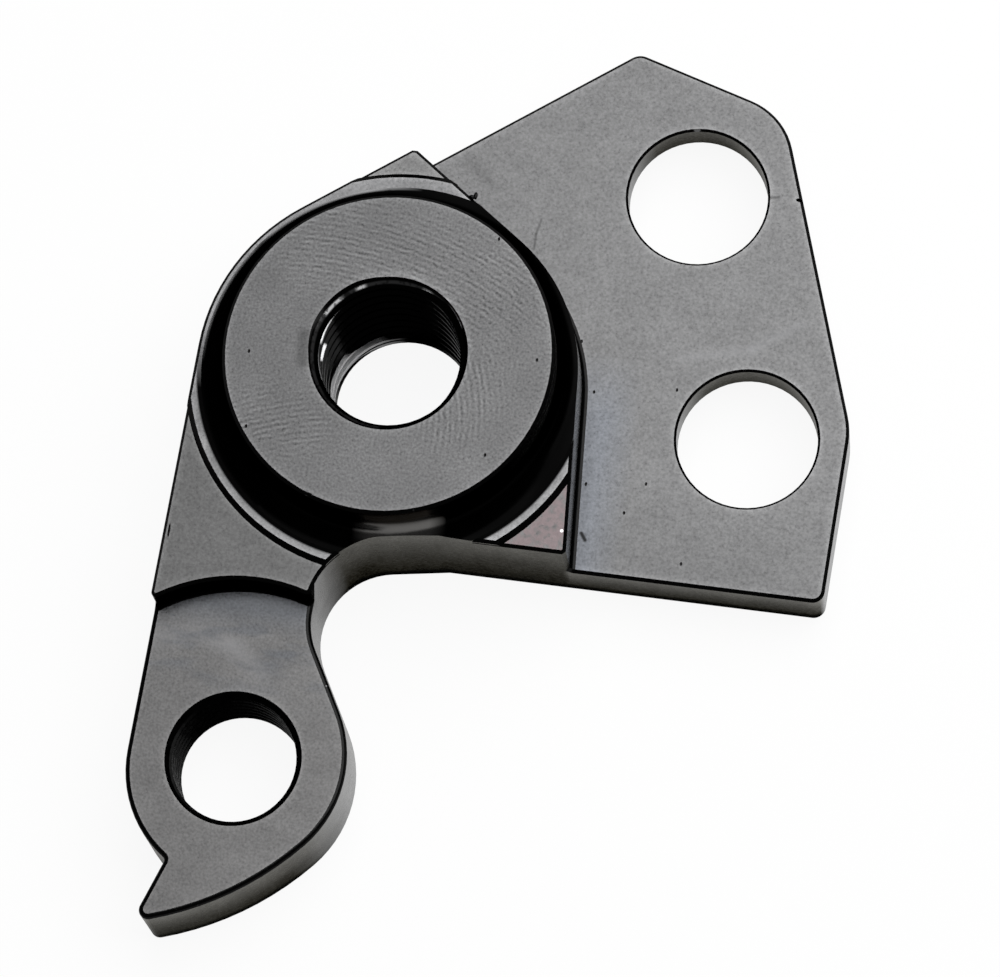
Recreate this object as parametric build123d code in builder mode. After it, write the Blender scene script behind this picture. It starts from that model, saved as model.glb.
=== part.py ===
from build123d import *
import math
import os

os.makedirs("parts", exist_ok=True)

# A derailleur hanger milled from one aluminium plate. Sizes are in millimetres and degrees.
# Z is the axle bore's axis, Z = 0 is the flat back, and X runs along the plate's lower edge.

# Heights above the back
plate_thickness = 4.7
tab_thickness = 7.05
pad_height = 9.7
ring_rise = 0.4
boss_rise = 4.5

# Axle boss: a turned boss with a fillet at its foot, standing on a low ring
boss_radius = 12.2
boss_foot_fillet = 2.1
ring_radius = 15.1
axle_thread_minor_diameter = 10.4
axle_mouth_diameter = 11.7

# Derailleur tab: its threaded hole, and the round end and heel about it
derailleur_x = -7.6
derailleur_y = -29.77
derailleur_thread_minor_diameter = 9.2
derailleur_mouth_diameter = 10.1
tab_end_x = -8.2
tab_end_y = -29.65
tab_end_radius = 8.9
tab_heel_x = -6.5
tab_heel_y = -30.25
tab_heel_radius = 8.95
tab_pocket_radius = 12.85

# Stop claw at the tab's lower end
claw_edge_radius = 22.8
claw_blend_angle = -40.7
claw_root_angle = -122.9
claw_back_angle = -109.2
claw_tip_radius = 0.7
claw_root_radius = 0.3

# Body: its lobe about the axle, and the wall that drops to the plate
lobe_radius = 14.75
wall_radius = 13.6
wall_upper_angle = 54.3
wall_lower_angle = 4.2

# Notch between the body and the tab
lower_edge_distance = 12.1
notch_radius = 5.5
notch_ramp_x = 5.2
notch_ramp_angle = -80.8
neck_angle = 29.5

# Bolt holes: the lower hole's place, the spacing, and the direction of the upper one
lower_bolt_x = 26.1
lower_bolt_y = -0.35
bolt_spacing = 19.35
bolt_line_angle = 108.7
bolt_hole_diameter = 10.5
bolt_recess_diameter = 12.5
bolt_recess_depth = 2.15

# Plate outline: the edges' outward directions, and how far they lie past the nearer hole
upper_left_edge_angle = 126.8
upper_right_edge_angle = 73.1
upper_right_edge_margin = 8.65
right_edge_margin = 7.65
right_lower_edge_angle = -1.2
right_lower_edge_margin = 7.45
apex_radius = 1.2
shoulder_radius = 5.4
kink_radius = 6.0
lower_corner_radius = 0.9

# Broken and rounded edges, and the fillets that the cutter leaves at the foot of a wall
plate_edge_break = 0.25
body_edge_break = 0.25
tab_edge_round = 0.36
boss_edge_break = 0.25
bolt_hole_edge_break = 0.18
back_edge_break = 0.1
wall_foot_fillet = 0.4
step_foot_fillet = 0.3

# Construction lengths: how deep blanks run into each other, and a reach past the whole object
overlap = 2.0
reach = 100.0

ring_top = pad_height + ring_rise
boss_top = ring_top + boss_rise


def polar(radius, angle):
    """Point at a radius and an angle about the axle."""
    return Vector(radius * math.cos(math.radians(angle)), radius * math.sin(math.radians(angle)))


def edge_past(point, angle, margin):
    """Straight edge as its outward angle and its distance from the axle, at a margin past a point."""
    return angle, point.dot(polar(1, angle)) + margin


def meet(first, second):
    """Point where two straight edges meet."""
    first_angle, first_distance = first
    second_angle, second_distance = second
    turn = math.radians(second_angle - first_angle)
    along = (second_distance - first_distance * math.cos(turn)) / math.sin(turn)
    return polar(first_distance, first_angle) + polar(along, first_angle + 90)


def at(corner, sketch):
    """Vertex of a sketch that lies at a corner."""
    return sketch.vertices().sort_by_distance(corner)[0]


axle = Vector(0, 0)
derailleur_hole = Vector(derailleur_x, derailleur_y)
lower_bolt = Vector(lower_bolt_x, lower_bolt_y)
upper_bolt = lower_bolt + polar(bolt_spacing, bolt_line_angle)

# Corners of the plate
upper_left_edge = edge_past(axle, upper_left_edge_angle, lobe_radius)
upper_right_edge = edge_past(upper_bolt, upper_right_edge_angle, upper_right_edge_margin)
right_edge = edge_past(lower_bolt, bolt_line_angle - 90, right_edge_margin)
right_lower_edge = edge_past(lower_bolt, right_lower_edge_angle, right_lower_edge_margin)
lower_edge = edge_past(axle, -90, lower_edge_distance)
apex = meet(upper_left_edge, upper_right_edge)
shoulder = meet(upper_right_edge, right_edge)
kink = meet(right_edge, right_lower_edge)
lower_corner = meet(right_lower_edge, lower_edge)

# Centres of the tab's round end, its heel and the long arc under the claw
tab_end = Vector(tab_end_x, tab_end_y)
tab_heel = Vector(tab_heel_x, tab_heel_y)
claw_edge_centre = tab_end - polar(claw_edge_radius - tab_end_radius, claw_blend_angle)
claw_root = tab_heel + polar(tab_heel_radius, claw_root_angle)

# Corners of the notch: where the ramp leaves the lower edge, where ramp and neck would meet,
# and where the neck reaches the tab's round end
ramp_start = Vector(notch_ramp_x, -lower_edge_distance)
neck_edge = edge_past(tab_end, neck_angle, tab_end_radius)
notch_corner = meet(edge_past(ramp_start, notch_ramp_angle, 0), neck_edge)
neck_end = tab_end + polar(tab_end_radius, neck_angle)

# Wall between the body and the plate: an arc about the axle with a straight stretch at each end
wall_arc_start = polar(wall_radius, wall_upper_angle)
wall_arc_end = polar(wall_radius, wall_lower_angle)
wall_upper_end = wall_arc_start + polar(reach, wall_upper_angle + 90)
wall_lower_end = wall_arc_end + polar(reach, wall_lower_angle - 90)

# Arm: the lobe about the axle and the heel of the tab, joined by a straight left edge
with BuildSketch() as arm_outline:
    Circle(lobe_radius)
    with Locations(tab_heel):
        Circle(tab_heel_radius)
    make_hull()
    Polygon(
        axle,
        tab_heel,
        tab_heel + polar(reach, -90),
        polar(2 * reach, -45),
        polar(reach, 0),
        align=None,
        mode=Mode.SUBTRACT,
    )
    Polygon(axle, tab_heel, neck_end, ramp_start, align=None)

# Round end of the tab, its right half only
with BuildSketch() as tab_end_outline:
    with Locations(tab_end):
        Circle(tab_end_radius)
        Rectangle(reach, reach, align=(Align.MIN, Align.CENTER), mode=Mode.INTERSECT)

# Plate: a five-sided shape that grows out of the lobe
with BuildSketch() as plate_outline:
    Polygon(
        axle,
        polar(lower_edge_distance, -90),
        lower_corner,
        kink,
        shoulder,
        apex,
        polar(lobe_radius, upper_left_edge_angle),
        align=None,
    )
    fillet(at(apex, plate_outline), apex_radius)
    fillet(at(shoulder, plate_outline), shoulder_radius)
    fillet(at(kink, plate_outline), kink_radius)
    fillet(at(lower_corner, plate_outline), lower_corner_radius)

# Claw: the long arc's disc, cut back to the hooked end of the tab
with BuildSketch() as claw_outline:
    with Locations(claw_edge_centre):
        Circle(claw_edge_radius)
    Polygon(
        tab_end,
        claw_root,
        claw_root + polar(claw_edge_radius, claw_back_angle),
        claw_root + polar(reach, claw_blend_angle - 45),
        tab_end + polar(claw_edge_radius, claw_blend_angle),
        align=None,
        mode=Mode.INTERSECT,
    )
    fillet(claw_outline.vertices().sort_by(Axis.Y)[0], claw_tip_radius)

# Notch: the gap between the body and the tab
with BuildSketch() as notch_outline:
    Polygon(
        ramp_start,
        notch_corner,
        neck_end,
        Vector(reach, neck_end.Y),
        Vector(reach, -lower_edge_distance),
        align=None,
    )
    fillet(at(notch_corner, notch_outline), notch_radius)

# Whole outline seen from the front
with BuildSketch() as outline:
    add(arm_outline.sketch)
    add(plate_outline.sketch)
    add(notch_outline.sketch, mode=Mode.SUBTRACT)
    add(tab_end_outline.sketch)
    add(claw_outline.sketch)
    fillet(at(claw_root, outline), claw_root_radius)

# Body: the part of the outline up to the wall and to the tab's round pocket
with BuildSketch() as body_outline:
    add(outline.sketch)
    with BuildLine():
        Line(wall_upper_end, wall_arc_start)
        CenterArc(axle, wall_radius, wall_upper_angle, wall_lower_angle - wall_upper_angle)
        Polyline(wall_arc_end, wall_lower_end, Vector(2 * reach, 0), wall_upper_end)
    make_face(mode=Mode.SUBTRACT)
    with Locations(derailleur_hole):
        Circle(tab_pocket_radius, mode=Mode.SUBTRACT)
        Rectangle(reach, reach, align=(Align.CENTER, Align.MAX), mode=Mode.SUBTRACT)

# Tab: the part of the outline round the derailleur hole
with BuildSketch() as tab_outline:
    with Locations(derailleur_hole):
        Circle(tab_pocket_radius + overlap)
    add(outline.sketch, mode=Mode.INTERSECT)


def rim(part, height):
    """Edges round the level face of a part at a height."""
    level_faces = part.faces().filter_by(Axis.Z)
    return level_faces.sort_by(lambda face: abs(face.center().Z - height))[0].outer_wire().edges()


def front_at(point, height):
    """Plane on a front face, above a point of the outline."""
    return Plane(point + Vector(0, 0, height))


def back_at(point):
    """Plane on the flat back, turned to face backwards."""
    return Plane(point, z_dir=(0, 0, -1))


def nearest(edges, point):
    """Edges that lie nearest a point, where several are equally near."""
    return edges.group_by(lambda edge: round(edge.distance_to(Vertex(point)), 2))[0]


# Plate, tab and body at their three heights, each with its foot fillet and broken edges
with BuildPart() as milled:
    add(outline.sketch)
    extrude(amount=plate_thickness)
    add(tab_outline.sketch)
    extrude(amount=tab_thickness)
    add(body_outline.sketch)
    extrude(amount=pad_height)
    axle_at_plate = Vector(0, 0, plate_thickness)
    fillet(nearest(rim(milled, plate_thickness), axle_at_plate), wall_foot_fillet)
    fillet(rim(milled, tab_thickness).sort_by(Axis.Y)[-1], step_foot_fillet)
    plate_rim = rim(milled, plate_thickness)
    chamfer(plate_rim - nearest(plate_rim, axle_at_plate), plate_edge_break)
    fillet(rim(milled, tab_thickness).sort_by(Axis.Y)[:-1], tab_edge_round)
    chamfer(rim(milled, pad_height), body_edge_break)

# Ring: a low disc with a sloping edge, trimmed to the body
with BuildPart() as ring:
    add(body_outline.sketch)
    extrude(amount=ring_top)
    chamfer(rim(ring, ring_top), body_edge_break)
    with BuildSketch(Plane.XY.offset(pad_height)):
        Circle(ring_radius + ring_rise)
    extrude(amount=ring_rise, taper=45, mode=Mode.INTERSECT)

# Boss with the fillet at its foot, turned about the axle and trimmed to the body
with BuildPart() as boss:
    with BuildSketch(Plane.XZ):
        with BuildLine():
            Polyline(
                (boss_radius, ring_top + boss_foot_fillet),
                (boss_radius, boss_top - boss_edge_break),
                (boss_radius - boss_edge_break, boss_top),
                (0, boss_top),
                (0, 0),
                (boss_radius + boss_foot_fillet, 0),
                (boss_radius + boss_foot_fillet, ring_top),
            )
            RadiusArc(
                (boss_radius + boss_foot_fillet, ring_top),
                (boss_radius, ring_top + boss_foot_fillet),
                boss_foot_fillet,
            )
        make_face()
    revolve(axis=Axis.Z)
    with BuildSketch():
        add(body_outline.sketch)
    extrude(amount=boss_top, mode=Mode.INTERSECT)

with BuildPart() as derailleur_hanger:
    add(milled.part)
    add(ring.part)
    add(boss.part)
    chamfer(rim(derailleur_hanger, 0), back_edge_break)

    # Bore of the axle thread, opened at both mouths
    with Locations(front_at(axle, boss_top), back_at(axle)):
        CounterSinkHole(axle_thread_minor_diameter / 2, axle_mouth_diameter / 2, boss_top, 90)

    # Bore of the derailleur thread, opened at both mouths
    with Locations(front_at(derailleur_hole, tab_thickness), back_at(derailleur_hole)):
        CounterSinkHole(derailleur_thread_minor_diameter / 2, derailleur_mouth_diameter / 2, tab_thickness, 90)

    # Bolt holes, each with a broken edge in front and a round recess behind
    bolt_hole_radius = bolt_hole_diameter / 2
    with Locations(front_at(lower_bolt, plate_thickness), front_at(upper_bolt, plate_thickness)):
        CounterSinkHole(bolt_hole_radius, bolt_hole_radius + bolt_hole_edge_break, plate_thickness, 90)
    with Locations(back_at(lower_bolt), back_at(upper_bolt)):
        CounterBoreHole(bolt_hole_radius, bolt_recess_diameter / 2, bolt_recess_depth, plate_thickness)

derailleur_hanger.part.label = "derailleur_hanger"
export_step(derailleur_hanger.part, "parts/derailleur_hanger.step")
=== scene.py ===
import math

import bmesh
import bpy
from mathutils import Euler, Matrix, Vector


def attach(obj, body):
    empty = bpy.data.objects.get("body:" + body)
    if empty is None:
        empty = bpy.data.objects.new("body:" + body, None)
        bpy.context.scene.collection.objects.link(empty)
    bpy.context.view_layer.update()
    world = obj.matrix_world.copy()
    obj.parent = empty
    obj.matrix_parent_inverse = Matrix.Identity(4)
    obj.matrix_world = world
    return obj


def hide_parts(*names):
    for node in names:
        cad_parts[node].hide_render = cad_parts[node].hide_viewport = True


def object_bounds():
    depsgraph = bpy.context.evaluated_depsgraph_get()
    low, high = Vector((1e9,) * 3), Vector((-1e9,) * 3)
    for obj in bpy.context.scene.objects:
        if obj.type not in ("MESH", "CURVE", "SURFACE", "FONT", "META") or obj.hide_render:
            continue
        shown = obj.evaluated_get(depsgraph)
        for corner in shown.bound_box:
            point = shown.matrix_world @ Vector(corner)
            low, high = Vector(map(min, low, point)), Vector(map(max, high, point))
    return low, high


MM = 0.001

# Camera: its place in millimetres, its turn in degrees, and its lens and sensor in millimetres
CAMERA_PLACE = (54.114, -114.127, 394.979)
CAMERA_TURN = (16.14, 4.29, 8.471)
CAMERA_LENS = 198.0
SENSOR_WIDTH = 36.0

# Heights of the level faces in millimetres; the boss's top is read from the frame further down
PLATE_TOP = 4.7
TAB_TOP = 7.05
PAD_TOP = 9.7
RING_TOP = 10.1

# The step down to the tab lies wholly below this Y
STEP_REACH = -15.5

# Axle boss and the two threads, in millimetres
BOSS_FOOT_RADIUS = 14.3
AXLE_PLACE = Vector((0.0, 0.0))
AXLE_MINOR_RADIUS = 5.2
AXLE_MAJOR_RADIUS = 6.0
AXLE_PITCH = 1.5
AXLE_THREAD_BOTTOM = 2.0
TAB_HOLE_PLACE = Vector((-7.6, -29.77))
TAB_HOLE_MINOR_RADIUS = 4.6
TAB_HOLE_MAJOR_RADIUS = 5.0
TAB_HOLE_PITCH = 1.0

# Thread cutters: how far they run past a face in millimetres, how far they reach into the bore
# as a share of the pitch, their sides per turn, and their flank in degrees
TAP_OVERRUN = 1.0
TAP_OVERLAP = 0.12
TAP_SEGMENTS = 96
TAP_FLANK = 30

# Small turns that keep the cutters' corners off the body's own corners
THREAD_START = math.radians(1.3)
LUMP_TURN = Euler((0.31, 0.23, 0.47))

# Corners closer than this are welded, in millimetres: before the cuts, and after them
WELD_BEFORE = 0.0005
WELD_AFTER = 0.001

# Tones of the anodised surfaces
PLATE_GREY = (0.096, 0.096, 0.097)
PAD_GREY = (0.084, 0.084, 0.084)
TAB_GREY = (0.084, 0.083, 0.083)
BOSS_GREY = (0.080, 0.080, 0.081)
RING_GREY = (0.118, 0.118, 0.120)
CORNER_GREY = (0.112, 0.092, 0.094)
# Painted reflection on the front of the boss wall
PAINTED_REFLECTION_GREY = (0.120, 0.117, 0.113)
WORN_GREY = (0.150, 0.150, 0.155)
# Painted highlight on the boss wall
HIGHLIGHT_GREY = (0.450, 0.450, 0.450)
# Bare metal of the chips, also used for the painted glints and floor reflection in the axle thread
BARE_METAL_AND_GLINT = (0.850, 0.850, 0.860)
# Painted light on the walls that face right
WALL_LIT_GREY = (0.120, 0.120, 0.120)
WALL_BLACK = (0.016, 0.015, 0.013)
EDGE_BLACK = (0.010, 0.010, 0.010)
BORE_BLACK = (0.005, 0.005, 0.005)
DEEP_BLACK = (0.001, 0.001, 0.001)

# Tints that a tone is multiplied by, and the factors that keep a place's X and Y alone
PLAIN = (1.0, 1.0, 1.0)
COOL_HIGHLIGHT_TINT = (1.02, 1.07, 1.16)
WARM_TINT = (1.0, 0.99, 0.95)
DARK_COOL_TINT = (0.78, 0.82, 0.88)
FLAT = (1.0, 1.0, 0.0)

# Marks on the faces, in millimetres. Cutter marks are arcs about a centre, seen along a line
# of the given half width and fade. Scratches have a half width and a strength.
MARKS_SPACING = 0.42
CUTTER_MARKS = [
    ((-6.3, -20.6, 14.6), (-5.5, 7.8, 14.6), (7.0, 5.6, 14.6), 2.0, 3.5),
    ((-9.3, -6.4, 14.6), (5.4, -4.5, 14.6), (6.4, -1.5, 14.6), 1.0, 2.5),
    ((-0.6, -26.8, 14.6), (-8.4, -6.1, 14.6), (-5.5, -6.5, 14.6), 1.0, 2.5),
]
BORE_SMUDGE = ((-6.3, 0.6, 14.6), (-6.1, -1.4, 14.6))
LIGHT_STREAKS = [
    ((20.4, 5.2, 4.7), (25.5, 6.6, 4.7)),
    ((25.5, 6.6, 4.7), (29.0, 9.0, 4.7)),
]
DARK_SCRATCHES = [
    ((8.48, 14.8, 4.7), (8.24, 13.6, 4.7), 0.02, 0.45),
    ((8.24, 13.6, 4.7), (8.26, 12.4, 4.7), 0.02, 0.45),
    ((14.95, -9.05, 4.7), (15.3, -9.55, 4.7), 0.07, 0.95),
    ((25.4, 18.6, 4.7), (25.9, 18.7, 4.7), 0.04, 0.45),
]
TAB_STREAKS = [
    ((-14.4, -21.4, 7.05), (-11.4, -20.7, 7.05)),
    ((-11.4, -20.7, 7.05), (-9.0, -21.4, 7.05)),
    ((-9.0, -21.4, 7.05), (-6.6, -23.2, 7.05)),
]
PLATE_SMUDGE = ((2.4, 18.6, 4.7), (4.1, 17.3, 4.7))
CORNER_CHIP = (14.0, -10.4, 9.7)
RIM_CHIP = (19.1, 23.33, 4.62)

# Painted glints in stretches of the axle thread: height, half its height, bearing from the left,
# half a turn, fade and strength, in millimetres and degrees
GLINT_STRETCHES = [
    (2.40, 0.10, 45.0, 35.0, 15.0, 0.35),
    (11.35, 0.30, 5.0, 5.0, 3.0, 0.5),
    (13.00, 0.22, 24.0, 13.0, 5.0, 0.9),
    (13.00, 0.15, 0.0, 30.0, 30.0, 0.25),
]

# Glints round the mouth of the axle thread: bearing from the left, half a turn and strength
MOUTH_GLINTS = [
    (20.0, 110.0, 0.12),
    (35.0, 8.0, 0.90),
    (60.0, 2.0, 0.90),
    (112.0, 2.0, 0.80),
    (142.0, 8.0, 0.60),
]

# Pits, nicks and burrs: the centre of each little lump and its half sizes, in millimetres
PIT = (0.10, 0.15, 0.05)
PITS = [
    (12.85, 5.66, 4.7), (14.33, 1.86, 4.7), (20.43, 2.78, 4.7), (14.75, -5.27, 4.7),
    (19.16, -4.71, 4.7), (17.86, -7.12, 4.7), (22.58, -10.45, 4.7),
    (-10.14, -1.13, 14.6), (-9.44, -6.80, 14.6), (6.76, 9.64, 14.6),
    (10.87, 0.81, 14.6), (8.18, -6.79, 14.6),
]
NICKS = [
    ((-10.15, 6.85, 14.6), (0.35, 0.22, 0.25)),
    ((-4.35, -11.35, 14.6), (0.55, 0.20, 0.25)),
    ((27.5, 18.65, 4.7), (0.30, 0.16, 0.40)),
    ((-14.62, -14.0, 9.7), (0.09, 0.55, 0.15)),
]
BURRS = [
    ((2.2, 14.95, 9.75), (0.32, 0.20, 0.16)),
    ((3.7, 14.15, 9.95), (0.26, 0.18, 0.16)),
    ((3.95, 14.3, 9.9), (0.16, 0.30, 0.12)),
]

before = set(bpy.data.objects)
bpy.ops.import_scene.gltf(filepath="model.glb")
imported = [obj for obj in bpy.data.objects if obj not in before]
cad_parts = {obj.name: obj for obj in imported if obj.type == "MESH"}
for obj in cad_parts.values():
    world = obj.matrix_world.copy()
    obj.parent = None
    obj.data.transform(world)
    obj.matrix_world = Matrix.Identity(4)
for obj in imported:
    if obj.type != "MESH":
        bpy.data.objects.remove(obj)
cad_low, cad_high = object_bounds()
BOSS_TOP = cad_high.z / MM


# Node helpers: each adds what it names to a material and returns its output

def new_material(name):
    """Empty material with its output and shader, and the shader linked."""
    material = bpy.data.materials.new(name)
    material.use_nodes = True
    tree = material.node_tree
    tree.nodes.clear()
    output = tree.nodes.new("ShaderNodeOutputMaterial")
    shader = tree.nodes.new("ShaderNodeBsdfPrincipled")
    tree.links.new(shader.outputs["BSDF"], output.inputs["Surface"])
    return material, tree, shader


def feed(tree, socket, value):
    """Links another node's output to a socket, or sets a plain value on it."""
    if isinstance(value, bpy.types.NodeSocket):
        tree.links.new(value, socket)
    else:
        socket.default_value = value


def maths(tree, operation, first, second=0.0):
    node = tree.nodes.new("ShaderNodeMath")
    node.operation = operation
    feed(tree, node.inputs[0], first)
    feed(tree, node.inputs[1], second)
    return node.outputs[0]


def product(tree, first, *others):
    """All the values multiplied together."""
    for other in others:
        first = maths(tree, "MULTIPLY", first, other)
    return first


def remap(tree, value, span, results):
    """Straight ramp from a span of values to a span of results, held level beyond it."""
    node = tree.nodes.new("ShaderNodeMapRange")
    feed(tree, node.inputs["Value"], value)
    node.inputs["From Min"].default_value = span[0]
    node.inputs["From Max"].default_value = span[1]
    node.inputs["To Min"].default_value = results[0]
    node.inputs["To Max"].default_value = results[1]
    return node.outputs["Result"]


def fade_in(tree, value, span):
    """0 up to the start of a span, rising to 1 at its end."""
    return remap(tree, value, span, (0.0, 1.0))


def fade_out(tree, value, span):
    """1 up to the start of a span, falling to 0 at its end."""
    return remap(tree, value, span, (1.0, 0.0))


def band(tree, value, centre, half_width, softness):
    """1 within half a width of a centre, fading to 0 beyond it."""
    away = maths(tree, "ABSOLUTE", maths(tree, "SUBTRACT", value, centre))
    return fade_out(tree, away, (half_width, half_width + softness))


def vector_maths(tree, operation, first, second=(0.0, 0.0, 0.0)):
    node = tree.nodes.new("ShaderNodeVectorMath")
    node.operation = operation
    feed(tree, node.inputs[0], first)
    feed(tree, node.inputs["Scale"] if operation == "SCALE" else node.inputs[1], second)
    single = operation in ("LENGTH", "DOT_PRODUCT")
    return node.outputs["Value" if single else "Vector"]


def axis(tree, vector, letter):
    node = tree.nodes.new("ShaderNodeSeparateXYZ")
    feed(tree, node.inputs[0], vector)
    return node.outputs[letter]


def place_in_mm(tree):
    """Place on the part in millimetres."""
    coordinates = tree.nodes.new("ShaderNodeTexCoord")
    return vector_maths(tree, "SCALE", coordinates.outputs["Object"], 1.0 / MM)


def facing_right(tree, span):
    """Mask of the surfaces that face along X, by the X part of their direction."""
    direction = tree.nodes.new("ShaderNodeTexCoord").outputs["Normal"]
    return fade_in(tree, axis(tree, direction, "X"), span)


def from_axle_in_mm(tree, place):
    """Distance from the axle's centre line."""
    return vector_maths(tree, "LENGTH", vector_maths(tree, "MULTIPLY", place, FLAT))


def noise(tree, place, per_mm, detail=2.0, squash=(1.0, 1.0, 1.0)):
    """Noise between 0 and 1 with so many features per millimetre, times the squash of each axis."""
    node = tree.nodes.new("ShaderNodeTexNoise")
    node.inputs["Scale"].default_value = per_mm
    node.inputs["Detail"].default_value = detail
    feed(tree, node.inputs["Vector"], vector_maths(tree, "MULTIPLY", place, squash))
    return node.outputs["Fac"]


def cutter_marks(tree, place, centre, spacing):
    """Arcs left by a milling cutter about a centre, between 0 and 1."""
    node = tree.nodes.new("ShaderNodeTexWave")
    node.wave_type = "RINGS"
    node.rings_direction = "Z"
    node.inputs["Scale"].default_value = math.pi / (10.0 * spacing)
    node.inputs["Distortion"].default_value = 2.5
    node.inputs["Detail"].default_value = 2.0
    node.inputs["Detail Scale"].default_value = 2.0
    feed(tree, node.inputs["Vector"], vector_maths(tree, "SUBTRACT", place, centre))
    return node.outputs["Fac"]


def mark(tree, place, start, end, half_width, softness):
    """Mask of a straight scratch or, where both ends meet, of a round spot."""
    along = Vector(end) - Vector(start)
    away = vector_maths(tree, "SUBTRACT", place, start)
    if along.length > 0.0:
        share = vector_maths(tree, "DOT_PRODUCT", away, tuple(along / along.length_squared))
        share = fade_in(tree, share, (0.0, 1.0))
        nearest = vector_maths(tree, "SCALE", tuple(along), share)
        away = vector_maths(tree, "SUBTRACT", away, nearest)
    distance = vector_maths(tree, "LENGTH", away)
    return fade_out(tree, distance, (half_width, half_width + softness))


def blend(tree, share, first, second):
    """Colour between two, by a share."""
    node = tree.nodes.new("ShaderNodeMix")
    node.data_type = "RGBA"
    feed(tree, node.inputs[0], share)
    for socket, colour in ((node.inputs[6], first), (node.inputs[7], second)):
        feed(tree, socket, colour if isinstance(colour, bpy.types.NodeSocket) else (*colour, 1.0))
    return node.outputs[2]


def toned(tree, colour, tone):
    """Colour made lighter or darker by a factor."""
    return vector_maths(tree, "SCALE", colour, tone)


def dent(tree, shader, height, depth):
    """Fine relief, with its depth in millimetres."""
    bump = tree.nodes.new("ShaderNodeBump")
    bump.inputs["Distance"].default_value = depth * MM
    feed(tree, bump.inputs["Height"], height)
    tree.links.new(bump.outputs["Normal"], shader.inputs["Normal"])


# Materials of the black-anodised aluminium, one for each kind of machined surface.
# Above each one stand its own values. Names in _X, _Y, _Z and _RADII are spans in millimetres
# over which something fades, and names in _NOISE are spans of a noise. Names in _TONES are
# factors on a colour. Names in _STRENGTH say how strongly a mark shows.

# Spans of a noise over which a pattern runs from its least to its most
NOISE_WIDE = (0.25, 0.75)
NOISE_MIDDLE = (0.3, 0.7)
NOISE_NARROW = (0.35, 0.65)

# Grain, and the painted highlight along the rims, that the level faces share
GRAIN_PER_MM = 5.0
FACE_GRAIN_TONES = (0.62, 1.38)
FACE_ROUGHNESS = (0.27, 0.37)
FACE_EDGE_TINT = 0.8
RIM_WIDTH = 0.8
RIM_AGREEMENT = (0.93, 0.999)
RIM_TONES = (1.0, 1.5)


def anodised(name, edge_tint):
    """Metal with its colour and roughness still to be fed; the tint dims its grazing shine."""
    material, tree, shader = new_material(name)
    shader.inputs["Metallic"].default_value = 1.0
    shader.inputs["Specular Tint"].default_value = (edge_tint, edge_tint, edge_tint, 1.0)
    return material, tree, shader, place_in_mm(tree)


def painted_rim_highlight(tree):
    """Mask of the strip along a face's edges where a highlight is painted."""
    rounded = tree.nodes.new("ShaderNodeBevel")
    rounded.samples = 4
    rounded.inputs["Radius"].default_value = RIM_WIDTH * MM
    shape = tree.nodes.new("ShaderNodeNewGeometry")
    same = vector_maths(tree, "DOT_PRODUCT", rounded.outputs["Normal"], shape.outputs["Normal"])
    return fade_out(tree, same, RIM_AGREEMENT)


def milled_face(name, colour, patch_strength):
    """Level milled face: fine grain, cloudy patches and a painted highlight along the rims."""
    material, tree, shader, place = anodised(name, FACE_EDGE_TINT)
    grain = noise(tree, place, GRAIN_PER_MM, 3.0)
    patches = noise(tree, place, 0.35, 3.0, (1.0, 1.7, 1.0))
    tone = remap(tree, grain, NOISE_WIDE, FACE_GRAIN_TONES)
    cloud = remap(tree, patches, NOISE_MIDDLE, (1.0 - patch_strength, 1.0 + patch_strength))
    # Painted highlight: the rims are made lighter
    rim = remap(tree, painted_rim_highlight(tree), (0.0, 1.0), RIM_TONES)
    feed(tree, shader.inputs["Roughness"], remap(tree, grain, NOISE_MIDDLE, FACE_ROUGHNESS))
    dent(tree, shader, grain, 0.004)
    return material, tree, shader, place, toned(tree, colour, product(tree, tone, cloud, rim))


# Strip of the plate by the wall's foot where a cool highlight is painted
COOL_HIGHLIGHT_X = (15.5, 18.0)
COOL_HIGHLIGHT_Y = (0.0, 5.0)
PLATE_FRONT_Y = (-12.0, -3.0)
PLATE_FRONT_TONES = (0.87, 1.0)
LIGHT_STREAK_STRENGTH = 0.22
PLATE_SMUDGE_STRENGTH = 0.18


def plate_face():
    """Plate: a painted cool highlight by the wall, darker in front, a light streak, scratches, a
    smudge.
    """
    material, tree, shader, place, colour = milled_face("plate_face", PLATE_GREY, 0.05)
    # Painted highlight: a cool tint on the plate by the foot of the wall
    by_wall = fade_out(tree, axis(tree, place, "X"), COOL_HIGHLIGHT_X)
    lower = fade_out(tree, axis(tree, place, "Y"), COOL_HIGHLIGHT_Y)
    cool_highlight = blend(tree, product(tree, by_wall, lower), PLAIN, COOL_HIGHLIGHT_TINT)
    colour = vector_maths(tree, "MULTIPLY", colour, cool_highlight)
    front = remap(tree, axis(tree, place, "Y"), PLATE_FRONT_Y, PLATE_FRONT_TONES)
    colour = toned(tree, colour, front)
    for start, end in LIGHT_STREAKS:
        shine = product(tree, mark(tree, place, start, end, 0.05, 0.5), LIGHT_STREAK_STRENGTH)
        colour = blend(tree, shine, colour, WORN_GREY)
    for start, end, half_width, strength in DARK_SCRATCHES:
        dark = product(tree, mark(tree, place, start, end, half_width, 0.12), strength)
        colour = blend(tree, dark, colour, EDGE_BLACK)
    smudge = product(tree, mark(tree, place, *PLATE_SMUDGE, 0.1, 0.7), PLATE_SMUDGE_STRENGTH)
    feed(tree, shader.inputs["Base Color"], blend(tree, smudge, colour, EDGE_BLACK))
    return material


PAD_Y = (-8.0, 15.0)
PAD_TONES = (0.88, 1.16)
CORNER_X = (8.0, 10.0)
CORNER_MOTTLE_NOISE = (0.35, 0.6)
CORNER_MOTTLE_STRENGTH = (0.1, 1.25)


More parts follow.
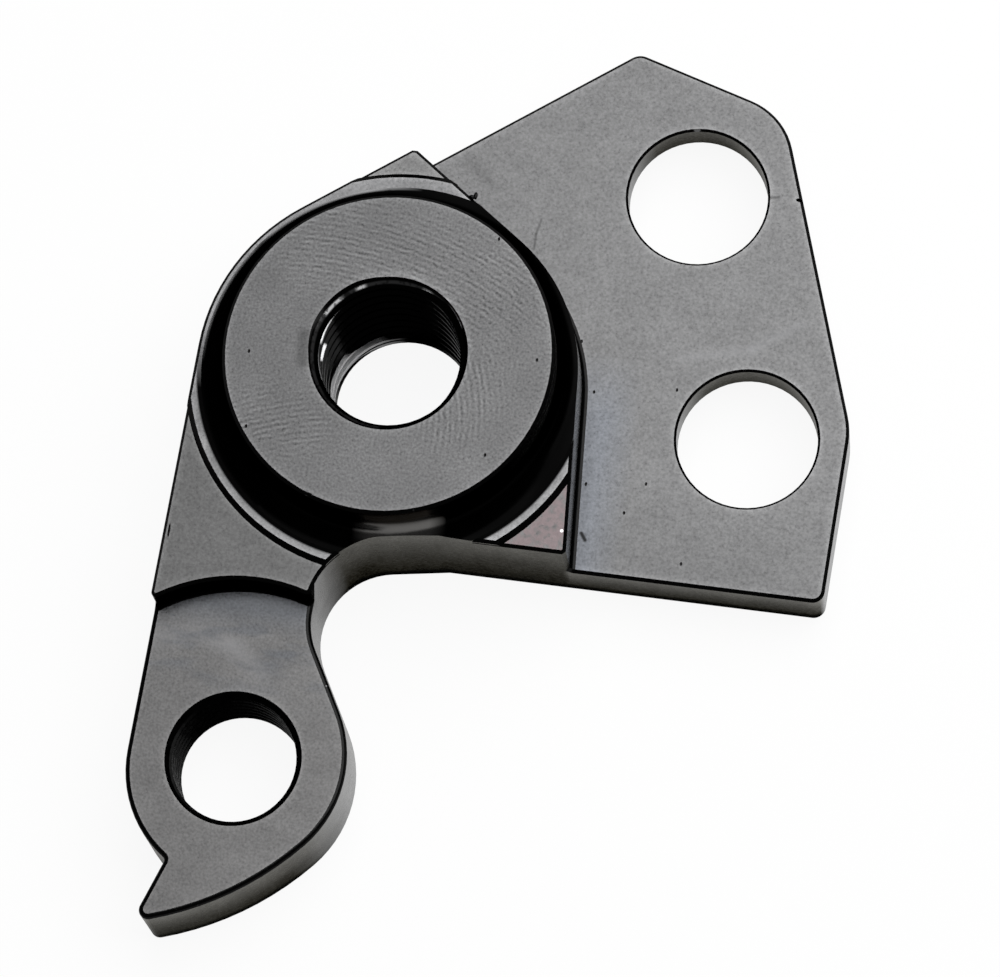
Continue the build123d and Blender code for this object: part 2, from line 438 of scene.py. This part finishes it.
def pad_face():
    """Pad round the boss, with the small corner by the wall a mottled warm grey."""
    material, tree, shader, place, colour = milled_face("pad_face", PAD_GREY, 0.06)
    upper = remap(tree, axis(tree, place, "Y"), PAD_Y, PAD_TONES)
    colour = toned(tree, colour, upper)
    lit_side_and_mottle = noise(tree, place, 2.4, 4.0)
    corner = product(tree, fade_in(tree, axis(tree, place, "X"), CORNER_X),
                     remap(tree, lit_side_and_mottle, CORNER_MOTTLE_NOISE, CORNER_MOTTLE_STRENGTH))
    colour = blend(tree, corner, colour, CORNER_GREY)
    chip = mark(tree, place, CORNER_CHIP, CORNER_CHIP, 0.06, 0.08)
    feed(tree, shader.inputs["Base Color"], blend(tree, chip, colour, BARE_METAL_AND_GLINT))
    return material


TAB_SMUDGE_Y = (-26.0, -22.0)
UNDER_STEP_Y = (-20.5, -18.5)
TAB_SMUDGE_NOISE = (0.45, 0.6)
TAB_SMUDGE_STRENGTH = (0.0, 0.8)
TAB_STREAK_NOISE = (0.3, 0.6)
TAB_STREAK_STRENGTH = (0.45, 0.1)


def tab_face():
    """Tab: smudged across its upper part, and darker and cooler all along the strip next to the
    step.
    """
    material, tree, shader, place, colour = milled_face("tab_face", TAB_GREY, 0.08)
    cloud = noise(tree, place, 0.5, 3.0, (0.6, 1.6, 1.0))
    across = axis(tree, place, "Y")
    smudge = product(tree, fade_in(tree, across, TAB_SMUDGE_Y),
                     remap(tree, cloud, TAB_SMUDGE_NOISE, TAB_SMUDGE_STRENGTH))
    # The strip next to the step is darker and cooler all along, with the same tint
    smudge = maths(tree, "MAXIMUM", smudge, fade_in(tree, across, UNDER_STEP_Y))
    colour = vector_maths(tree, "MULTIPLY", colour, blend(tree, smudge, PLAIN, DARK_COOL_TINT))
    shine = 0.0
    for start, end in TAB_STREAKS:
        shine = maths(tree, "MAXIMUM", shine, mark(tree, place, start, end, 0.1, 1.1))
    shine = product(tree, shine, remap(tree, cloud, TAB_STREAK_NOISE, TAB_STREAK_STRENGTH))
    feed(tree, shader.inputs["Base Color"], blend(tree, shine, colour, WORN_GREY))
    return material


# Where the ring's inner edge is painted black as shade
RING_FOOT_RADII = (14.55, 14.7)
RING_SHADE_Y = (2.0, -3.0)


def ring_face():
    """Raised ring round the boss: brighter than the pad, with painted shade in black along its
    inner edge on the lower side, where the fillet runs out.
    """
    material, tree, shader, place, colour = milled_face("ring_face", RING_GREY, 0.15)
    # Painted shade: black along the ring's inner edge, on the lower side only
    inner = fade_out(tree, from_axle_in_mm(tree, place), RING_FOOT_RADII)
    lower = fade_in(tree, axis(tree, place, "Y"), RING_SHADE_Y)
    colour = blend(tree, product(tree, inner, lower), colour, DEEP_BLACK)
    feed(tree, shader.inputs["Base Color"], colour)
    return material


BACK_RUB_NOISE = (0.58, 0.7)
BACK_RUB_STRENGTH = (0.0, 0.35)


def back_face():
    """Flat back that lies against the frame: milled, with a few long rub marks."""
    material, tree, shader, place, colour = milled_face("back_face", PAD_GREY, 0.08)
    rubs = noise(tree, place, 0.9, 2.0, (0.15, 2.5, 1.0))
    rubs = remap(tree, rubs, BACK_RUB_NOISE, BACK_RUB_STRENGTH)
    feed(tree, shader.inputs["Base Color"], blend(tree, rubs, colour, WORN_GREY))
    return material


BOSS_GRAIN_TONES = (0.55, 1.45)
BOSS_CLOUD_TONES = (0.93, 1.07)
MARKS_NOISE = (0.4, 0.6)
MARKS_STRENGTH = (0.05, 0.62)
BORE_SMUDGE_STRENGTH = 0.4


def boss_face():
    """Boss face: short arcs of the facing cutter, broken up by grain."""
    material, tree, shader, place = anodised("boss_face", FACE_EDGE_TINT)
    grain = noise(tree, place, GRAIN_PER_MM, 3.0)
    patches = noise(tree, place, 0.3, 2.0)
    broken = noise(tree, place, 1.3, 3.0)
    arcs_tone = 0.0
    for centre, start, end, half_width, softness in CUTTER_MARKS:
        arcs = maths(tree, "SUBTRACT", cutter_marks(tree, place, centre, MARKS_SPACING), 0.5)
        seen = product(tree, mark(tree, place, start, end, half_width, softness),
                       remap(tree, broken, MARKS_NOISE, MARKS_STRENGTH))
        arcs_tone = maths(tree, "ADD", arcs_tone, product(tree, arcs, seen))
    tone = maths(tree, "ADD", remap(tree, grain, NOISE_WIDE, BOSS_GRAIN_TONES), arcs_tone)
    # Painted highlight along the rims, as on the other level faces
    tone = product(tree, tone, remap(tree, patches, NOISE_MIDDLE, BOSS_CLOUD_TONES),
                   remap(tree, painted_rim_highlight(tree), (0.0, 1.0), RIM_TONES))
    colour = toned(tree, BOSS_GREY, tone)
    smudge = product(tree, mark(tree, place, *BORE_SMUDGE, 0.2, 0.5), BORE_SMUDGE_STRENGTH)
    feed(tree, shader.inputs["Base Color"], blend(tree, smudge, colour, EDGE_BLACK))
    feed(tree, shader.inputs["Roughness"], remap(tree, grain, NOISE_MIDDLE, FACE_ROUGHNESS))
    dent(tree, shader, maths(tree, "ADD", grain, arcs_tone), 0.005)
    return material


WALL_LINE_TONES = (0.92, 1.08)
WALL_GRAIN_TONES = (0.8, 1.2)
WALL_CLOUD_TONES = (0.75, 1.25)
PLATE_WALL_X = (14.0, 14.4)
PLATE_WALL_Z = (PLATE_TOP, PLATE_TOP + 0.05)
TAB_WALL_Y = (STEP_REACH, STEP_REACH - 0.4)
# Painted shade on the walls: their grazing shine is dimmed from the top edge down to the foot, and
# most at the foot
WALL_SHINE = (0.36, 0.84)
WALL_SHINE_POWER = 1.5
LOW_WALL_SHINE = 0.14
WALL_FOOT_Z = (0.2, 1.3)
WALL_FOOT_SHADE = (0.5, 1.0)
SHINE_GRAIN = (0.88, 1.12)
SHINE_CLOUD = (0.96, 1.04)
# Which walls that face right get the painted light
WALL_LIT_FACING = (0.7, 1.0)
WALL_ROUGHNESS = (0.2, 0.3)


def milled_wall():
    """Walls: faint lines of the side mill, with painted light along the top edge, painted shade at
    the foot, and walls that face right painted lighter.
    """
    material, tree, shader, place = anodised("milled_wall", 1.0)
    lines = noise(tree, place, 2.5, 3.0, (1.0, 1.0, 0.08))
    grain = noise(tree, place, 4.0, 3.0)
    cloud = noise(tree, place, 0.3, 2.0)
    height = axis(tree, place, "Z")
    on_plate = product(tree, fade_in(tree, axis(tree, place, "X"), PLATE_WALL_X),
                       fade_out(tree, height, PLATE_WALL_Z))
    on_tab = fade_in(tree, axis(tree, place, "Y"), TAB_WALL_Y)
    wall_top = maths(tree, "SUBTRACT", PAD_TOP, product(tree, on_plate, PAD_TOP - PLATE_TOP))
    wall_top = maths(tree, "SUBTRACT", wall_top, product(tree, on_tab, PAD_TOP - TAB_TOP))
    # Painted shade: the shine rises with the height up the wall, dimmest at the foot
    rise = maths(tree, "POWER", maths(tree, "DIVIDE", height, wall_top), WALL_SHINE_POWER)
    low_part = product(tree, maths(tree, "MAXIMUM", on_plate, on_tab), LOW_WALL_SHINE)
    shine = remap(tree, rise, (0.0, 1.0), WALL_SHINE)
    shine = maths(tree, "ADD", shine, product(tree, low_part, rise))
    shine = product(tree, shine, remap(tree, height, WALL_FOOT_Z, WALL_FOOT_SHADE),
                    remap(tree, grain, NOISE_MIDDLE, SHINE_GRAIN),
                    remap(tree, cloud, NOISE_NARROW, SHINE_CLOUD))
    # Painted light: walls that face right are given a lighter grey and their full grazing shine
    lit_side_and_mottle = facing_right(tree, WALL_LIT_FACING)
    tone = product(tree, remap(tree, lines, NOISE_MIDDLE, WALL_LINE_TONES),
                   remap(tree, grain, NOISE_MIDDLE, WALL_GRAIN_TONES),
                   remap(tree, cloud, NOISE_NARROW, WALL_CLOUD_TONES))
    colour = toned(tree, blend(tree, lit_side_and_mottle, WALL_BLACK, WALL_LIT_GREY), tone)
    feed(tree, shader.inputs["Base Color"], colour)
    tint = blend(tree, lit_side_and_mottle, toned(tree, WARM_TINT, shine), PLAIN)
    feed(tree, shader.inputs["Specular Tint"], tint)
    feed(tree, shader.inputs["Roughness"], remap(tree, grain, NOISE_MIDDLE, WALL_ROUGHNESS))
    dent(tree, shader, lines, 0.002)
    return material


TURNING_TONES = (0.6, 1.6)
DEEP_ROUGHNESS = (0.14, 0.24)
# Painted reflection low on the front of the boss wall: its middle and half width across X, its
# fade, and the Y and Z where it fades
REFLECTION_CENTRE = 2.3
REFLECTION_HALF_WIDTH = 2.2
REFLECTION_FADE = 1.2
REFLECTION_Y = (-11.0, -10.0)
REFLECTION_Z = (10.2, 10.6)
# Where the highlight high on the boss wall's right-facing side is painted
HIGHLIGHT_FACING = (0.8, 1.0)
HIGHLIGHT_Z = (12.0, 12.6)
# Where the fillet's foot is painted light
LIT_FOOT_RADII = (14.05, 14.2)
LIT_FOOT_Y = (-1.0, 2.0)
LIT_FOOT_X = (0.0, -4.0)


def deep_wall():
    """Boss wall, its foot and the step above the tab: a smooth deep black, with a painted highlight
    high on the right-facing side, a painted reflection low on the front, and painted light on the
    fillet's foot at the upper left.
    """
    material, tree, shader, place = anodised("deep_wall", 0.2)
    along_x = axis(tree, place, "X")
    along_y = axis(tree, place, "Y")
    height = axis(tree, place, "Z")
    turning = noise(tree, place, 1.2, 2.0, (0.1, 0.1, 3.0))
    colour = toned(tree, DEEP_BLACK, remap(tree, turning, NOISE_MIDDLE, TURNING_TONES))
    # Painted highlight: a light line high on the side that faces right
    painted_highlight = product(tree, facing_right(tree, HIGHLIGHT_FACING), fade_in(tree, height, HIGHLIGHT_Z))
    colour = blend(tree, painted_highlight, colour, HIGHLIGHT_GREY)
    # Painted light: the fillet's foot on the upper left is given the ring's grey
    foot = product(tree, fade_in(tree, from_axle_in_mm(tree, place), LIT_FOOT_RADII),
                   fade_in(tree, along_y, LIT_FOOT_Y), fade_in(tree, along_x, LIT_FOOT_X))
    colour = blend(tree, foot, colour, RING_GREY)
    # Painted reflection: a lighter patch low on the front of the boss wall
    painted_reflection = product(tree, band(tree, along_x, REFLECTION_CENTRE, REFLECTION_HALF_WIDTH, REFLECTION_FADE),
                    fade_in(tree, height, REFLECTION_Z), fade_out(tree, along_y, REFLECTION_Y))
    feed(tree, shader.inputs["Base Color"], blend(tree, painted_reflection, colour, PAINTED_REFLECTION_GREY))
    feed(tree, shader.inputs["Roughness"], remap(tree, turning, NOISE_MIDDLE, DEEP_ROUGHNESS))
    dent(tree, shader, turning, 0.004)
    return material


CHIP_NOISE = (0.72, 0.76)
CHIP_STRENGTH = (0.0, 0.8)
EDGE_ROUGHNESS = (0.2, 0.3)


def broken_edge():
    """Broken edges: deep black, with the odd light chip."""
    material, tree, shader, place = anodised("broken_edge", 0.5)
    chips = remap(tree, noise(tree, place, 1.8, 4.0), CHIP_NOISE, CHIP_STRENGTH)
    colour = blend(tree, chips, EDGE_BLACK, WORN_GREY)
    chip = mark(tree, place, RIM_CHIP, RIM_CHIP, 0.2, 0.1)
    grain = noise(tree, place, 3.0)
    feed(tree, shader.inputs["Base Color"], blend(tree, chip, colour, BARE_METAL_AND_GLINT))
    feed(tree, shader.inputs["Roughness"], remap(tree, grain, NOISE_MIDDLE, EDGE_ROUGHNESS))
    return material


# Painted reflection of the floor in a band low in the bore, in millimetres, and in degrees from the
# left.
# Over these bearings its top and its foot drop from the first height to the second. A dark gap
# splits its far part.
BAND_BEARINGS = (0.0, 70.0)
BAND_TOPS = (5.2, 1.9)
BAND_FEET = (1.9, 0.5)
BAND_TOP_FADE = (0.0, 0.3)
BAND_FOOT_FADE = (0.0, 0.2)
BAND_MIDDLE = -10.0
BAND_HALF_TURN = 50.0
BAND_END_FADE = 45.0
GAP_HEIGHT = 1.35
GAP_HALF_HEIGHT = 0.12
GAP_FADE = 0.08
GAP_BEARINGS = (25.0, 45.0)
STRETCH_FADE = 0.1
GLINT_FADE = 4.0
MOUTH_ARC_RADIUS = 5.6
MOUTH_ARC_HALF_WIDTH = 0.06
MOUTH_ARC_FADE = 0.1
MOUTH_DEPTH = 0.65
GLINT_NOISE = (0.42, 0.48)
GLINT_STRENGTH = (0.5, 1.0)
BORE_EDGE_TINT = 0.22
BORE_METALLIC = (1.0, 0.3)
BORE_ROUGHNESS = (0.1, 0.2)


def floor_reflection_band(tree, height, bearing):
    """Mask of the band low in the bore where a reflection of the floor is painted."""
    top = remap(tree, bearing, BAND_BEARINGS, BAND_TOPS)
    foot = remap(tree, bearing, BAND_BEARINGS, BAND_FEET)
    gap = product(tree, band(tree, height, GAP_HEIGHT, GAP_HALF_HEIGHT, GAP_FADE),
                  fade_in(tree, bearing, GAP_BEARINGS))
    return product(tree, fade_in(tree, maths(tree, "SUBTRACT", top, height), BAND_TOP_FADE),
                   fade_in(tree, maths(tree, "SUBTRACT", height, foot), BAND_FOOT_FADE),
                   band(tree, bearing, BAND_MIDDLE, BAND_HALF_TURN, BAND_END_FADE),
                   maths(tree, "SUBTRACT", 1.0, gap))


def mouth_glints(tree, place, height, bearing):
    """Mask of the broken arc of glints round the bore's mouth."""
    glint = 0.0
    for middle, half_turn, strength in MOUTH_GLINTS:
        here = product(tree, band(tree, bearing, middle, half_turn, GLINT_FADE), strength)
        glint = maths(tree, "MAXIMUM", glint, here)
    radius = from_axle_in_mm(tree, place)
    broken = remap(tree, noise(tree, place, 2.5, 3.0), GLINT_NOISE, GLINT_STRENGTH)
    return product(tree, glint,
                   band(tree, radius, MOUTH_ARC_RADIUS, MOUTH_ARC_HALF_WIDTH, MOUTH_ARC_FADE),
                   maths(tree, "GREATER_THAN", height, BOSS_TOP - MOUTH_DEPTH), broken)


def bore_thread():
    """Axle thread: black, with painted glints in stretches and round its mouth, and a painted
    reflection of the floor in a band low in the bore.
    """
    material, tree, shader, place = anodised("bore_thread", BORE_EDGE_TINT)
    grain = noise(tree, place, 2.2, 2.0, (1.0, 1.0, 2.0))
    height = axis(tree, place, "Z")
    leftward = product(tree, axis(tree, place, "X"), -1.0)
    bearing = maths(tree, "ARCTAN2", axis(tree, place, "Y"), leftward)
    bearing = product(tree, bearing, math.degrees(1.0))
    painted_light = floor_reflection_band(tree, height, bearing)
    # Painted glints in stretches of the thread
    for level, half_height, middle, half_turn, fade, strength in GLINT_STRETCHES:
        here = product(tree, band(tree, height, level, half_height, STRETCH_FADE),
                       band(tree, bearing, middle, half_turn, fade), strength)
        painted_light = maths(tree, "MAXIMUM", painted_light, here)
    painted_light = maths(tree, "MAXIMUM", painted_light, mouth_glints(tree, place, height, bearing))
    # Painted light: the glints and the floor's reflection get bare metal's colour and less metal,
    # so that the lamp lights them as well
    feed(tree, shader.inputs["Base Color"], blend(tree, painted_light, BORE_BLACK, BARE_METAL_AND_GLINT))
    tint = remap(tree, painted_light, (0.0, 1.0), (BORE_EDGE_TINT, 1.0))
    feed(tree, shader.inputs["Specular Tint"], tint)
    feed(tree, shader.inputs["Metallic"], remap(tree, painted_light, (0.0, 1.0), BORE_METALLIC))
    feed(tree, shader.inputs["Roughness"], remap(tree, grain, NOISE_MIDDLE, BORE_ROUGHNESS))
    return material


TAB_THREAD_TONES = (0.6, 1.4)
TAB_THREAD_ROUGHNESS = (0.2, 0.35)


def tab_thread():
    """Thread in the tab: black all over."""
    material, tree, shader, place = anodised("tab_thread", 0.2)
    grain = noise(tree, place, 3.0, 2.0)
    colour = toned(tree, BORE_BLACK, remap(tree, grain, NOISE_MIDDLE, TAB_THREAD_TONES))
    feed(tree, shader.inputs["Base Color"], colour)
    feed(tree, shader.inputs["Roughness"], remap(tree, grain, NOISE_MIDDLE, TAB_THREAD_ROUGHNESS))
    return material


# Body: the CAD node with its threads cut, and with its burrs, pits and nicks

def thread_cutter(name, place, minor_radius, major_radius, pitch, bottom, top):
    """Closed helical ridge that cuts a V thread into a bore."""
    flat_half = pitch / 16
    inner_radius = minor_radius - TAP_OVERLAP * pitch
    inner_half = flat_half + (major_radius - inner_radius) * math.tan(math.radians(TAP_FLANK))
    profile = [
        (inner_radius, -inner_half),
        (major_radius, -flat_half),
        (major_radius, flat_half),
        (inner_radius, inner_half),
    ]
    steps = int((top - bottom) / pitch * TAP_SEGMENTS)
    shape = bmesh.new()
    rings = []
    for step in range(steps + 1):
        angle = THREAD_START + 2 * math.pi * step / TAP_SEGMENTS
        height = bottom + pitch * step / TAP_SEGMENTS
        ring = []
        for radius, offset in profile:
            x = place.x + radius * math.cos(angle)
            y = place.y + radius * math.sin(angle)
            ring.append(shape.verts.new((x * MM, y * MM, (height + offset) * MM)))
        rings.append(ring)
    for lower, upper in zip(rings, rings[1:]):
        for side in range(len(profile)):
            after = (side + 1) % len(profile)
            shape.faces.new((lower[side], lower[after], upper[after], upper[side]))
    shape.faces.new(list(reversed(rings[0])))
    shape.faces.new(rings[-1])
    bmesh.ops.recalc_face_normals(shape, faces=shape.faces)
    return new_piece(name, shape)


def new_piece(name, shape):
    """Object made of an edited mesh, which is used up."""
    mesh = bpy.data.meshes.new(name)
    shape.to_mesh(mesh)
    shape.free()
    piece = bpy.data.objects.new(name, mesh)
    bpy.context.scene.collection.objects.link(piece)
    return piece


def apply_modifiers(piece):
    """Replaces a piece's mesh by its evaluated form."""
    shown = piece.evaluated_get(bpy.context.evaluated_depsgraph_get())
    mesh = bpy.data.meshes.new_from_object(shown)
    piece.modifiers.clear()
    piece.data = mesh


def cut(piece, cutter, operation="DIFFERENCE"):
    """Cuts a closed form out of a piece, or joins it on, and deletes that form."""
    modifier = piece.modifiers.new("cut", "BOOLEAN")
    modifier.operation = operation
    modifier.solver = "EXACT"
    modifier.object = cutter
    apply_modifiers(piece)
    bpy.data.objects.remove(cutter)


def lumps(name, spots):
    """Small rounded lumps, each with its centre and half sizes in millimetres."""
    shape = bmesh.new()
    for centre, half_sizes in spots:
        placed = Matrix.LocRotScale(Vector(centre) * MM, None, Vector(half_sizes) * MM)
        placed = placed @ LUMP_TURN.to_matrix().to_4x4()
        bmesh.ops.create_icosphere(shape, subdivisions=2, radius=1.0, matrix=placed)
    return new_piece(name, shape)


def clean(mesh):
    """Welds corners that all but meet and drops faces without area."""
    shape = bmesh.new()
    shape.from_mesh(mesh)
    bmesh.ops.remove_doubles(shape, verts=shape.verts, dist=WELD_AFTER * MM)
    bmesh.ops.dissolve_degenerate(shape, edges=shape.edges, dist=WELD_AFTER * MM)
    shape.to_mesh(mesh)
    shape.free()


def hanger_body():
    """Copy of the CAD node with welded corners, to be cut and dressed."""
    welded = bmesh.new()
    welded.from_mesh(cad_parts["derailleur_hanger"].data)
    bmesh.ops.remove_doubles(welded, verts=welded.verts, dist=WELD_BEFORE * MM)
    return new_piece("hanger_body", welded)


body = hanger_body()
cut(body, thread_cutter("axle_tap", AXLE_PLACE, AXLE_MINOR_RADIUS, AXLE_MAJOR_RADIUS,
                        AXLE_PITCH, AXLE_THREAD_BOTTOM, BOSS_TOP + TAP_OVERRUN))
cut(body, thread_cutter("tab_tap", TAB_HOLE_PLACE, TAB_HOLE_MINOR_RADIUS,
                        TAB_HOLE_MAJOR_RADIUS, TAB_HOLE_PITCH, -TAP_OVERRUN,
                        TAB_TOP + TAP_OVERRUN))
for burr in BURRS:
    cut(body, lumps("burr", [burr]), "UNION")
cut(body, lumps("pits_and_nicks", [(centre, PIT) for centre in PITS] + NICKS))
clean(body.data)

# Surfaces: each kind of machined surface has its own material
SURFACES = {
    "boss_face": boss_face(),
    "ring_face": ring_face(),
    "pad_face": pad_face(),
    "tab_face": tab_face(),
    "plate_face": plate_face(),
    "back_face": back_face(),
    "milled_wall": milled_wall(),
    "deep_wall": deep_wall(),
    "broken_edge": broken_edge(),
    "bore_thread": bore_thread(),
    "tab_thread": tab_thread(),
}
LEVEL_FACES = [
    (BOSS_TOP, "boss_face"),
    (RING_TOP, "ring_face"),
    (PAD_TOP, "pad_face"),
    (TAB_TOP, "tab_face"),
    (PLATE_TOP, "plate_face"),
]

# How level, upright or smooth a face has to be, and how near its height or hole, in millimetres
LEVEL_LIMIT = 0.9999
UPRIGHT_LIMIT = 0.05
CREASE_ANGLE = math.radians(38)
NEARNESS = 0.1
ABOVE_RING = 0.001
BELOW_EDGE = 0.3


def surface_of(centre, normal):
    """Name of the machined surface that a face belongs to."""
    place = Vector(centre) / MM
    from_axle = (place.xy - AXLE_PLACE).length
    from_tab_hole = (place.xy - TAB_HOLE_PLACE).length
    if normal.z < -LEVEL_LIMIT:
        return "back_face"
    for height, name in LEVEL_FACES:
        if normal.z > LEVEL_LIMIT and abs(place.z - height) < NEARNESS:
            return name
    if from_axle < AXLE_MAJOR_RADIUS:
        return "bore_thread"
    if from_tab_hole < TAB_HOLE_MAJOR_RADIUS + NEARNESS:
        return "tab_thread"
    on_boss = RING_TOP + ABOVE_RING < place.z < BOSS_TOP - BELOW_EDGE
    if on_boss and from_axle < BOSS_FOOT_RADIUS:
        return "deep_wall"
    if place.y < STEP_REACH and TAB_TOP < place.z < PAD_TOP - BELOW_EDGE:
        return "deep_wall"
    if abs(normal.z) < UPRIGHT_LIMIT:
        return "milled_wall"
    return "broken_edge"


def dress(mesh):
    """Gives each face the material of the surface that it belongs to."""
    names = list(SURFACES)
    for name in names:
        mesh.materials.append(SURFACES[name])
    for face in mesh.polygons:
        face.material_index = names.index(surface_of(face.center, face.normal))


def mark_creases(mesh):
    """Smooth shading, with a crease round every level face and at every sharp turn."""
    shape = bmesh.new()
    shape.from_mesh(mesh)
    for face in shape.faces:
        face.smooth = True
    for edge in shape.edges:
        if len(edge.link_faces) != 2:
            edge.smooth = False
            continue
        level = [abs(face.normal.z) > LEVEL_LIMIT for face in edge.link_faces]
        turn = edge.calc_face_angle(0.0)
        edge.smooth = level[0] == level[1] and turn < CREASE_ANGLE
    shape.to_mesh(mesh)
    shape.free()


dress(body.data)
mark_creases(body.data)
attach(body, "root")
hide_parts("derailleur_hanger")


# Stage: floor, light and camera. Lengths here are in metres.

# Soft box above the part, towards the plate's upper right, and the dim surround
SOFT_BOX_PLACE = (0.34, 0.42, 0.60)
SOFT_BOX_SIZE = 1.0
SOFT_BOX_RADIANCE = 3.4
SURROUND_GREY = (0.1, 0.1, 0.1, 1.0)

# Floor just under the part
FLOOR_HALF_WIDTH = 3.0
FLOOR_HEIGHT = -0.02 * MM
FLOOR_WHITE = (0.88, 0.88, 0.88, 1.0)

# Share of the floor's brightness that no shadow takes, seen straight and seen in the metal
FLOOR_GLOW = 0.92
FLOOR_GLOW_IN_METAL = 0.4


def floor_white():
    """Matt white that keeps the part's shadow and still shows as a white ground."""
    material, tree, shader = new_material("floor_white")
    shader.inputs["Base Color"].default_value = FLOOR_WHITE
    shader.inputs["Roughness"].default_value = 1.0
    shader.inputs["Specular IOR Level"].default_value = 0.0
    glow = tree.nodes.new("ShaderNodeEmission")
    glow.inputs["Strength"].default_value = 1.0
    rays = tree.nodes.new("ShaderNodeLightPath").outputs
    by_metal = maths(tree, "MAXIMUM", rays["Is Glossy Ray"], rays["Is Transmission Ray"])
    share = maths(tree, "ADD", product(tree, rays["Is Camera Ray"], FLOOR_GLOW),
                  product(tree, by_metal, FLOOR_GLOW_IN_METAL))
    mix = tree.nodes.new("ShaderNodeMixShader")
    output = next(node for node in tree.nodes if node.type == "OUTPUT_MATERIAL")
    tree.links.new(share, mix.inputs["Fac"])
    tree.links.new(shader.outputs["BSDF"], mix.inputs[1])
    tree.links.new(glow.outputs["Emission"], mix.inputs[2])
    tree.links.new(mix.outputs["Shader"], output.inputs["Surface"])
    return material


def make_floor():
    """Large pale floor just under the part."""
    half = FLOOR_HALF_WIDTH
    corners = [(x, y, FLOOR_HEIGHT) for x, y in
               ((-half, -half), (half, -half), (half, half), (-half, half))]
    mesh = bpy.data.meshes.new("floor")
    mesh.from_pydata(corners, [], [(0, 1, 2, 3)])
    floor = bpy.data.objects.new("floor", mesh)
    bpy.context.scene.collection.objects.link(floor)
    mesh.materials.append(floor_white())


def make_lights():
    """Soft box overhead and a dim surround."""
    lamp = bpy.data.lights.new("soft_box", "AREA")
    lamp.shape = "SQUARE"
    lamp.size = SOFT_BOX_SIZE
    lamp.energy = SOFT_BOX_RADIANCE * math.pi * SOFT_BOX_SIZE * SOFT_BOX_SIZE
    holder = bpy.data.objects.new("soft_box", lamp)
    holder.location = SOFT_BOX_PLACE
    bpy.context.scene.collection.objects.link(holder)
    world = bpy.data.worlds.new("surround")
    world.use_nodes = True
    world.node_tree.nodes["Background"].inputs["Color"].default_value = SURROUND_GREY
    bpy.context.scene.world = world


def make_camera():
    """Camera at the photograph's viewing angle."""
    data = bpy.data.cameras.new("camera")
    data.sensor_width = SENSOR_WIDTH
    data.lens = CAMERA_LENS
    camera = bpy.data.objects.new("camera", data)
    camera.location = Vector(CAMERA_PLACE) * MM
    camera.rotation_euler = Euler([math.radians(angle) for angle in CAMERA_TURN])
    bpy.context.scene.collection.objects.link(camera)
    bpy.context.scene.camera = camera


make_floor()
make_lights()
make_camera()
bpy.context.scene.view_settings.view_transform = "Standard"
